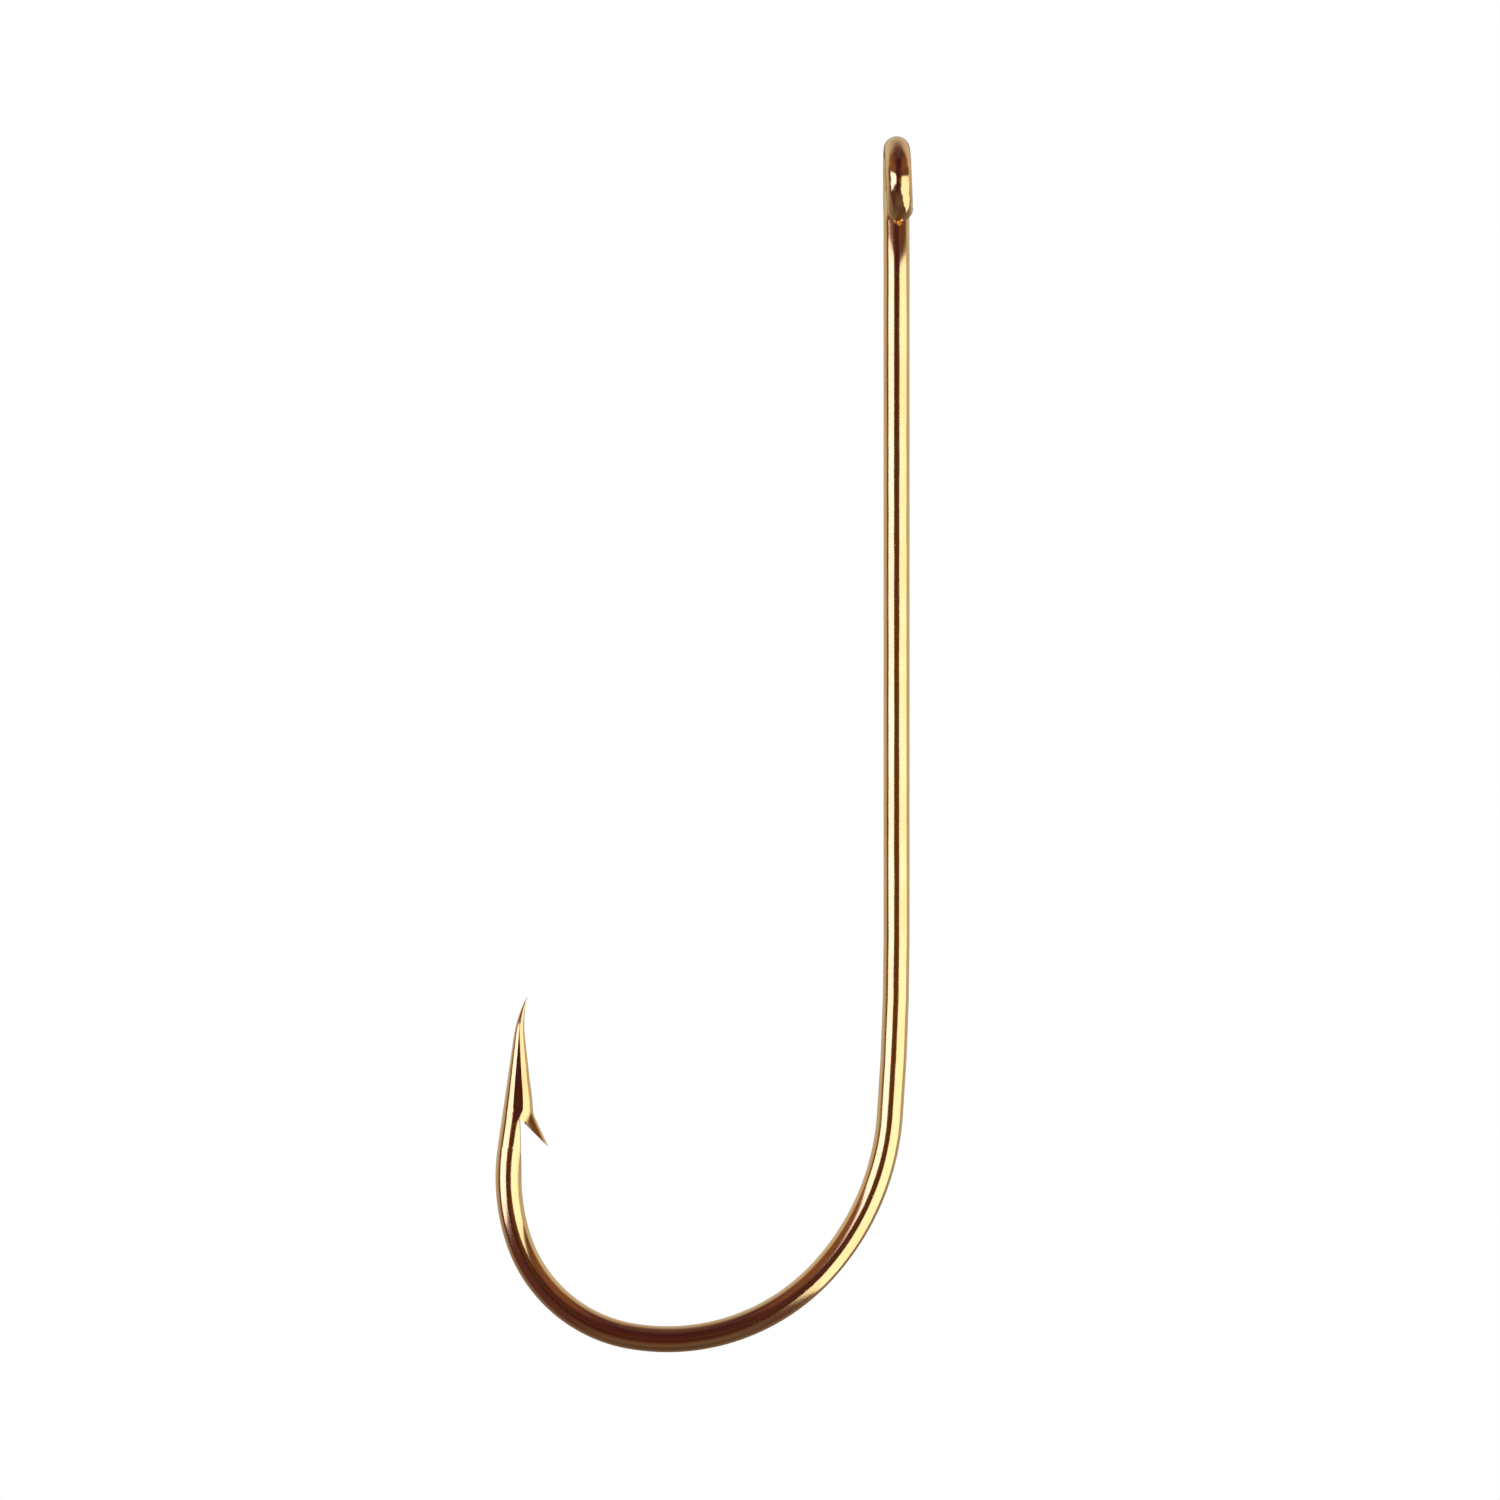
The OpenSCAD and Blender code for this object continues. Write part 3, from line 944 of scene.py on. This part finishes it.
class HOOK_OT_make_stage(bpy.types.Operator):
    """Set up the camera, the two softboxes, the dark room and the pale cove"""
    bl_idname = "hook.make_stage"
    bl_label = "Make Stage"
    bl_options = {"REGISTER", "UNDO"}

    def execute(self, context):
        stage = context.scene.hook_stage
        context.scene.view_settings.view_transform = "Standard"
        self.place_camera(context, stage)
        self.make_softbox("left_softbox", stage, stage.left_light, LEFT_CORNERS)
        self.make_softbox("right_softbox", stage, stage.right_light, RIGHT_CORNERS)
        self.make_cove(stage)
        self.make_room(context)
        return {"FINISHED"}

    def place_camera(self, context, stage):
        """A long lens, square to the hook"""
        camera = bpy.data.objects.new("camera", bpy.data.cameras.new("camera"))
        context.scene.collection.objects.link(camera)
        camera.data.lens = stage.lens
        distance = stage.view_width * stage.lens / camera.data.sensor_width
        camera.location = Vector(stage.view_centre) - distance * Y_AXIS
        camera.rotation_euler = (math.radians(90), 0, 0)
        camera.data.clip_start = distance / 100
        camera.data.clip_end = distance * 100
        context.scene.camera = camera

    def make_softbox(self, name, stage, light, corners):
        """A bright sheet that the camera itself does not see"""
        middle = Vector(stage.view_centre)
        bm = bmesh.new()
        bm.faces.new([
            bm.verts.new(middle + stage.softbox_distance * toward(*corner)) for corner in corners])
        sheet = finish_shape(bm, name)
        sheet.visible_camera = False
        sheet.data.materials.append(make_glow(name, light))

    def make_cove(self, stage):
        """A round pale floor that curves up into a wall on every side"""
        low = CAD_BOX[0].z - stage.floor_gap
        bm = bmesh.new()
        middle = bm.verts.new((0, 0, low))
        edge = bm.verts.new((stage.cove_radius, 0, low))
        bm.edges.new((middle, edge))
        arc = bmesh.ops.spin(
            bm, geom=[edge], cent=(stage.cove_radius, 0, low + stage.cove_curve), axis=-Y_AXIS,
            angle=math.radians(90), steps=COVE_CURVE_STEPS, use_duplicate=False)
        top = [item for item in arc["geom_last"] if isinstance(item, bmesh.types.BMVert)]
        made = bmesh.ops.extrude_vert_indiv(bm, verts=top)
        bmesh.ops.translate(bm, verts=made["verts"], vec=Z_AXIS * stage.cove_wall)
        bmesh.ops.spin(
            bm, geom=list(bm.verts) + list(bm.edges), cent=(0, 0, 0), axis=Z_AXIS,
            angle=math.tau, steps=COVE_SIDES, use_merge=True, use_duplicate=False)
        cove = finish_shape(bm, "cove")
        for face in cove.data.polygons:
            face.use_smooth = True
        cove.visible_glossy = False
        cove.visible_shadow = False
        paper = make_glow("pale_paper")
        paper.cycles.emission_sampling = "NONE"
        cove.data.materials.append(paper)

    def make_room(self, context):
        """The dim warm room that the plating mirrors around the softboxes, paler at the back"""
        world = bpy.data.worlds.new("room")
        world.use_nodes = True
        context.scene.world = world
        nodes = NodeTree(world.node_tree)
        way = nodes.node("ShaderNodeTexCoord").outputs["Generated"]
        split = nodes.node("ShaderNodeSeparateXYZ")
        nodes.link(way, split, "Vector")
        height = nodes.ranged(split.outputs["Z"], -1.0, 1.0, smooth=False)
        across = nodes.maths("ABSOLUTE", split.outputs["X"])
        ahead = nodes.mixed(
            nodes.ranged(across, *FRONT_TO_SIDES), nodes.ramp(height, ROOM_FRONT),
            nodes.ramp(height, ROOM_SIDES))
        behind = nodes.mixed(
            nodes.ranged(split.outputs["Y"], *BACK_TO_REAR), nodes.ramp(height, ROOM_BACK),
            ROOM_REAR)
        turned = nodes.ranged(split.outputs["Y"], *FRONT_TO_BACK)
        colour = nodes.mixed(turned, ahead, behind)
        air = nodes.node("ShaderNodeBackground")
        nodes.link(colour, air, "Color")
        output = nodes.node("ShaderNodeOutputWorld")
        nodes.link(air.outputs["Background"], output, "Surface")


# Panel and registration -------------------------------------------------------------------------

class HOOK_PT_panel(bpy.types.Panel):
    """Lists the steps that make the hook, and its settings"""
    bl_label = "Long-Shank Hook"
    bl_idname = "HOOK_PT_panel"
    bl_space_type = "VIEW_3D"
    bl_region_type = "UI"
    bl_category = "Hook"

    def draw(self, context):
        for operator in OPERATORS:
            self.layout.operator(operator.bl_idname)
        for name, kind in SETTINGS.items():
            box = self.layout.box()
            box.label(text=kind.__doc__)
            for item in kind.__annotations__:
                box.prop(getattr(context.scene, name), item)


SETTINGS = {
    "hook_wire": HookWireSettings,
    "hook_bend": HookBendSettings,
    "hook_point": HookPointSettings,
    "hook_plating": HookPlatingSettings,
    "hook_stage": HookStageSettings,
}
OPERATORS = (HOOK_OT_make_stage, HOOK_OT_make_wire)
CLASSES = (*SETTINGS.values(), *OPERATORS, HOOK_PT_panel)


def register():
    for kind in CLASSES:
        bpy.utils.register_class(kind)
    for name, kind in SETTINGS.items():
        setattr(bpy.types.Scene, name, bpy.props.PointerProperty(type=kind))


def unregister():
    for name in SETTINGS:
        delattr(bpy.types.Scene, name)
    for kind in reversed(CLASSES):
        bpy.utils.unregister_class(kind)


def main():
    register()
    bpy.ops.hook.make_stage()
    bpy.ops.hook.make_wire()


if __name__ == "__main__":
    main()
